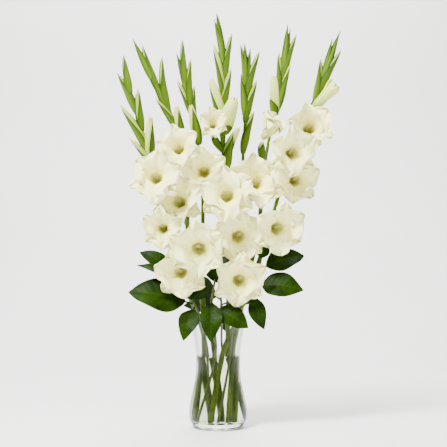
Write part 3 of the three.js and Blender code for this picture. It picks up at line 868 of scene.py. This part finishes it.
def build_spike(index, spike, skins):
    """One gladiolus: its stem, its buds, and the bracts at the foot of its open florets."""
    surface = Surface(np.random.default_rng(100 + index))
    line = centre_line(spike, STEM_RADIUS)
    add_stem(surface, line)
    for row in spike["buds"]:
        add_bud(surface, line, row)
    for spec in FLORETS:
        if spec["spike"] == index:
            add_spathe(surface, tube_line(spec, line))
    surface.build(f"spike_{index + 1:02d}", skins, f"gladiolus_{index + 1:02d}")
    return line


# ---- florets


def floret_frame(spec):
    """A floret's frame: its throat at the origin, the flower opening along Z, and its top along Y."""
    turn, tilt, roll = spec["turn"]
    sideways = Matrix.Rotation(math.radians(turn), 3, "Z")
    upwards = Matrix.Rotation(math.radians(90 - tilt), 3, "X")
    round_it = Matrix.Rotation(math.radians(roll), 3, "Z")
    return np.array(sideways @ upwards @ round_it)


def tube_line(spec, stem, count=40):
    """The line of a floret's tube, from its node on the stem to its throat."""
    throat = above_rim(spec["throat"])
    behind = throat - TUBE_BACK * floret_frame(spec)[:, 2]
    node, _ = point_at_height(stem, behind[2] - TUBE_RISE)
    return bezier(node, behind, throat, count)


def add_spathe(surface, line):
    """Two bracts round the foot of a floret's tube."""
    path = path_along(line, (0, -1, 0.2))
    shares = np.linspace(0, 1, len(line))
    radii = profile([(0, 4.5 * MM), (0.3, 7 * MM), (0.6, 6.5 * MM), (1, 6 * MM)], shares)
    end = SPATHE_END + surface.rng.uniform(0.0, 0.14)
    add_bract(surface, path, radii, math.pi, 0.85 * end, BRACT_REACH)
    add_bract(surface, path, radii + BRACT_LAYER, 0.0, end, BRACT_REACH)


# A tepal's line from deep in the throat to its tip, as shares of the radius and of the depth. The
# upper tepals open in one sweep, and the lower ones fold out sharply at the lip of the throat.
UPPER_LINE = [
    (0.02, -0.2), (0.13, -0.1), (0.21, 0.14), (0.26, 0.44), (0.42, 0.70), (0.7, 0.88), (1.0, 0.96),
]
LOWER_LINE = [
    (0.02, -0.2), (0.13, -0.1), (0.195, 0.14), (0.215, 0.46), (0.34, 0.60), (0.68, 0.74), (1.0, 0.80),
]
# The top tepal first, then round towards -X: each one's length as a share of the radius, how much of
# the lower line it follows, and its lean forward at the tip as a share of the depth.
TEPAL_LENGTHS = [1.06, 1.04, 1.0, 1.0, 1.0, 1.04]
TEPAL_LOWERS = [0.0, 0.15, 0.8, 1.0, 0.8, 0.15]
TEPAL_LEANS = [0.16, 0.04, -0.08, -0.12, -0.08, 0.04]
# Half the width of a tepal of the outer and of the inner whorl, and where it is widest, as shares of
# its length.
TEPAL_HALF_WIDTH = [0.50, 0.58]
TEPAL_WIDEST = 0.64
TEPAL_THICKNESS = 0.75 * MM
WHORL_OFFSET = 1.1 * MM  # of the inner whorl forwards, and of the outer one back
# The relief of a tepal, as shares of the floret's radius.
EDGE_RUFFLE = 0.17
TIP_RUFFLE = 0.10
FINE_RUFFLE = 0.07
KEEL_DEPTH = 0.05
TIP_CURL = 0.13
TUBE_END = 0.72  # share of the tube's line at which the tepals' cup takes over from it


def tepal(radius, opening, rank, rng):
    """Rows of points on one ruffled tepal in its floret's frame, and its thickness."""
    rows, columns = 40, 29
    s = np.linspace(0, 1, rows)[:, None]
    t = np.linspace(-1, 1, columns)[None, :]
    edge = np.abs(t)
    inner_whorl = rank % 2 == 1

    # The middle line, with the tepal's own length and lean.
    length = radius * TEPAL_LENGTHS[rank] * rng.uniform(0.93, 1.05)
    lower = TEPAL_LOWERS[rank]
    line = (1 - lower) * catmull_rom(UPPER_LINE, rows) + lower * catmull_rom(LOWER_LINE, rows)
    lean = TEPAL_LEANS[rank] + rng.uniform(-0.12, 0.12)
    spread = opening + (1 - opening) * (1 - smooth(s / 0.6))
    r = line[:, :1] * length * spread
    z = FLORET_DEPTH * (line[:, 1:] * (1.5 - 0.5 * opening) + lean * s**2)

    # The blade: wrapped round the throat, then ever flatter, to a blunt point.
    open_up = 0.26 + 0.74 * smooth(s / TEPAL_WIDEST)
    point = 2.1 if inner_whorl else 1.6
    close_in = np.clip(1 - ((s - TEPAL_WIDEST) / (1.004 - TEPAL_WIDEST)) ** point, 0, 1) ** 0.75
    share = np.where(s < TEPAL_WIDEST, open_up, close_in)
    half = np.maximum(TEPAL_HALF_WIDTH[rank % 2] * rng.uniform(0.92, 1.1) * length * share, 0.4 * MM)
    nick = 1 + 0.10 * np.sin(2 * math.pi * 4.5 * s + rng.uniform(0, 6)) * smooth(s / 0.5)
    flatness = r * (1 + 5 * s**2)
    turn = np.clip(t * half * nick / flatness, -2.4, 2.4)
    outwards = r - flatness * (1 - np.cos(turn))
    sideways = flatness * np.sin(turn)

    # Its relief, along the surface's normal: inwards in the throat and forwards on the face.
    steps = np.gradient(np.hstack([r, z]), axis=0)
    normal = unit(np.stack([-steps[:, 1], steps[:, 0]], -1))
    beat = rng.uniform(1.7, 2.7)
    phase = rng.uniform(0, 2 * math.pi, 3)
    side_wave = np.sin(2 * math.pi * beat * s + phase[0] + 1.7 * np.sign(t))
    fine_wave = np.sin(2 * math.pi * 2.3 * beat * s + 4 * t + phase[2])
    ruffle = EDGE_RUFFLE * smooth((s - 0.25) / 0.5) * edge**2 * side_wave
    ruffle = ruffle + TIP_RUFFLE * s**5 * np.sin(6.5 * t + phase[1])
    ruffle = ruffle + FINE_RUFFLE * s**2 * edge**2 * fine_wave
    keel = -KEEL_DEPTH * np.exp(-((t / 0.2) ** 2)) * smooth(s / 0.4) * smooth((1.05 - s) / 0.3)
    curl = -TIP_CURL * rng.uniform(0.2, 1.8) * s**4
    bowl = (0.14 if inner_whorl else -0.02) + rng.uniform(-0.08, 0.10)
    layer = WHORL_OFFSET if inner_whorl else -WHORL_OFFSET
    lift = layer + bowl * half * t**2 + radius * (ruffle + keel + curl)
    outwards = outwards + normal[:, :1] * lift
    z = z + normal[:, 1:] * lift

    angle = math.pi / 2 + rank * math.pi / 3 + rng.uniform(-0.12, 0.12)
    x = outwards * math.cos(angle) - sideways * math.sin(angle)
    y = outwards * math.sin(angle) + sideways * math.cos(angle)
    thickness = TEPAL_THICKNESS * (1 - 0.55 * edge**3) * np.ones((rows, 1))
    return np.stack([x, y, np.broadcast_to(z, x.shape)], -1), thickness


def add_stamens(surface, place):
    """Three filaments with long anthers and the style's forked tip, arched under the top tepal. place
    moves points from the floret's frame to the bouquet's."""
    rng = surface.rng
    for side in (-1, 0, 1):
        foot = np.array([side * 1.5, 1.0, 3.0]) * MM
        middle = np.array([side * 3.0, 4.0, 14.0]) * MM
        tip = np.array([side * 4.5 + rng.uniform(-1, 1), 6.0 + rng.uniform(-1, 1), 25.0]) * MM
        surface.tube(place(bezier(foot, middle, tip, 12)), 0.55 * MM, (1, 0, 0), skin=1, sides=8)
        end = tip + np.array([side * 0.8, 1.5, 8.0]) * MM
        swell = 1.1 * MM * np.sin(np.linspace(0.25, math.pi - 0.2, 12))
        anther = bezier(tip - (end - tip) * 0.2, (tip + end) / 2, end, 12)
        surface.tube(place(anther), swell, (1, 0, 0), 1.0, 1, 8)
    top = np.array([0.5, 8.0, 31.0]) * MM
    style = bezier(np.array([0, 0, 3.0]) * MM, np.array([0, 5.0, 18.0]) * MM, top, 14)
    surface.tube(place(style), 0.5 * MM, (1, 0, 0), skin=1, sides=8)
    for side in (-1, 0, 1):
        fork = top + np.array([side * 2.5, 2.0 + (side == 0), 2.5]) * MM
        surface.tube(place(bezier(top, (top + fork) / 2, fork, 6)), 0.6 * MM, (1, 0, 0), skin=1, sides=8)


def build_floret(index, spec, stem, skins):
    """One open flower: its bent tube, the cup of its throat, six tepals in two whorls, and stamens."""
    rng = np.random.default_rng(500 + index)
    surface = Surface(rng)
    turn = floret_frame(spec)
    throat = above_rim(spec["throat"])
    radius = spec["radius"] * MM

    def place(points):
        return throat + np.asarray(points) @ turn.T

    line = tube_line(spec, stem)
    shares = np.linspace(0, 1, len(line))
    tone = rng.uniform(0, 0.6)
    tube = shares < TUBE_END
    girth = profile([(0, 3.0 * MM), (0.5, 3.8 * MM), (TUBE_END, 5.2 * MM), (1, 6 * MM)], shares[tube])
    surface.tube(line[tube], girth, (1, 0, 0), tone, 2)
    for rank in range(6):
        points, thickness = tepal(radius, spec.get("opening", 1.0), rank, rng)
        surface.sheet(place(points), thickness, own=tone, skin=0)
    add_stamens(surface, place)
    surface.build(f"flower_{index + 1:02d}", skins, f"floret_{index + 1:02d}")


# ---- filler leaves


def build_leaf(index, spec, line, skins):
    """A leathery leaf on a round stalk: pointed, folded at its midrib and puffed between its veins."""
    rng = np.random.default_rng(900 + index)
    rows, columns = 72, 31
    s = np.linspace(0, 1, rows)[:, None]
    t = np.linspace(-1, 1, columns)[None, :]
    base, _ = point_at_height(line, VASE_HEIGHT + spec["at"] * MM)
    axis = above_rim(spec["tip"]) - base
    length = np.linalg.norm(axis)
    axis = unit(axis)
    side = unit(np.cross(SPRIGS[spec["sprig"]]["front"], axis))
    side = np.array(Matrix.Rotation(math.radians(spec.get("roll", 0)), 3, Vector(axis)) @ Vector(side))
    normal = np.cross(axis, side)
    width = spec["width"] * MM
    blade = np.clip((s - STALK_SHARE) / (1 - STALK_SHARE), 0, 1)
    half = np.maximum(0.5 * width * np.sin(math.pi * blade**0.8) ** 0.86, 1.1 * MM * (1 - 0.8 * s))
    side_wave = np.sin(2 * math.pi * rng.uniform(1.6, 2.4) * s + rng.uniform(0, 6) + 1.5 * np.sign(t))
    ribs = np.cos(2 * math.pi * (LEAF_VEINS * s - VEIN_SLANT * np.abs(t)))
    on_blade = smooth(blade / 0.2) * smooth((1 - s) / 0.15)
    across = t * half
    lift = spec["arch"] * MM * np.sin(math.pi * s) + LEAF_FOLD * np.abs(across) * (1 - 0.35 * np.abs(t))
    lift = lift + 0.035 * width * on_blade * np.abs(t) ** 2 * side_wave
    lift = lift - VEIN_DEPTH * on_blade * np.clip(ribs, 0.2, 1) * (1 - np.abs(t) ** 4)
    droop = -0.05 * length * smooth((s - 0.6) / 0.4) ** 2
    points = base + axis * (length * s)[..., None] + side * across[..., None]
    points = points + normal * (lift + droop)[..., None]
    stalk = STALK_THICKNESS * (1 - smooth((s - 0.08) / 0.14))
    midrib = MIDRIB_THICKNESS * np.exp(-((across / (1.2 * MM)) ** 2)) * (1 - s)
    surface = Surface(rng)
    surface.sheet(points, LEAF_THICKNESS + stalk + midrib)
    surface.build(f"foliage_{index + 1:02d}", skins, f"leaf_{index + 1:02d}")


def build_sprig(name, sprig, skins):
    """A filler sprig's stem, knotted where its leaves leave it."""
    line = centre_line(sprig, SPRIG_RADIUS)
    shares = np.linspace(0, 1, len(line))
    radii = SPRIG_RADIUS * (1 - 0.4 * shares**3) * (1 + 0.06 * np.sin(31 * shares))
    for spec in LEAVES:
        if spec["sprig"] == name:
            knot = (line[:, 2] - VASE_HEIGHT - spec["at"] * MM) / (3 * MM)
            radii = radii * (1 + 0.25 * np.exp(-(knot**2)))
    surface = Surface()
    surface.tube(line, radii, (1, 0, 0), sides=14)
    surface.build(f"twig_{name}", skins, f"sprig_{name}")
    return line


# ---- the studio


def build_floor(finish):
    """A sweep of paper: a floor that curves up behind into a wall."""
    half_width, front, back, height, bend = 6.0, -4.0, 2.2, 5.0, 1.2
    curve = arc((back - bend, bend), bend, -90, 0, 16)
    side_view = [(front, 0.0)] + curve + [(back, height)]
    rows = np.array([[(-half_width, y, z), (half_width, y, z)] for y, z in side_view])
    mesh = bpy.data.meshes.new("studio_sweep")
    faces = [(2 * i, 2 * i + 1, 2 * i + 3, 2 * i + 2) for i in range(len(rows) - 1)]
    mesh.from_pydata(rows.reshape(-1, 3).tolist(), [], faces)
    mesh.shade_smooth()
    mesh.materials.append(finish)
    floor = bpy.data.objects.new("studio_sweep", mesh)
    bpy.context.collection.objects.link(floor)


def area_light(name, place, aim, size, power):
    """A square soft light of some metres and watts, turned towards a point."""
    lamp = bpy.data.lights.new(name, "AREA")
    lamp.shape = "SQUARE"
    lamp.size = size
    lamp.energy = power
    light = bpy.data.objects.new(name, lamp)
    light.location = place
    light.rotation_euler = (Vector(aim) - Vector(place)).to_track_quat("-Z", "Y").to_euler()
    bpy.context.collection.objects.link(light)


def build_lights():
    """A key light from the upper left, a weak fill, a light from behind and a nearly white sky."""
    middle = (0, 0, 0.45)
    area_light("key", (-1.2, -1.7, 2.8), middle, 0.7, 400)
    area_light("fill", (2.4, -2.2, 1.3), middle, 2.0, 24)
    area_light("back", (0.3, 1.4, 2.6), middle, 1.5, 90)
    world = bpy.data.worlds.new("soft_sky")
    world.use_nodes = True
    sky = world.node_tree.nodes["Background"]
    sky.inputs["Color"].default_value = (1.0, 0.995, 0.98, 1)
    sky.inputs["Strength"].default_value = 1.15
    bpy.context.scene.world = world


def build_camera():
    """Level with the lower third of the flowers, looking up by a few degrees."""
    lens = bpy.data.cameras.new("camera")
    lens.lens = 76.7
    lens.sensor_width = 36
    lens.dof.use_dof = False
    camera = bpy.data.objects.new("camera", lens)
    camera.location = (0.0115, -2.0, 0.33)
    camera.rotation_euler = (math.radians(92.7), 0, 0)
    bpy.context.collection.objects.link(camera)
    bpy.context.scene.camera = camera


# ---- putting it together

build_camera()
build_lights()
build_floor(floor_finish())
build_vase(glass_finish())
build_water(water_finish())

spike_skins = [stem_finish(), bract_finish(), bud_finish()]
spike_lines = [build_spike(i, spike, spike_skins) for i, spike in enumerate(SPIKES)]

flower_skins = [petal_finish(), stamen_finish(), bud_finish()]
for i, spec in enumerate(FLORETS):
    build_floret(i, spec, spike_lines[spec["spike"]], flower_skins)

twig_skins = [twig_finish()]
sprig_lines = {name: build_sprig(name, sprig, twig_skins) for name, sprig in SPRIGS.items()}

leaf_skins = [leaf_finish()]
for i, spec in enumerate(LEAVES):
    build_leaf(i, spec, sprig_lines[spec["sprig"]], leaf_skins)
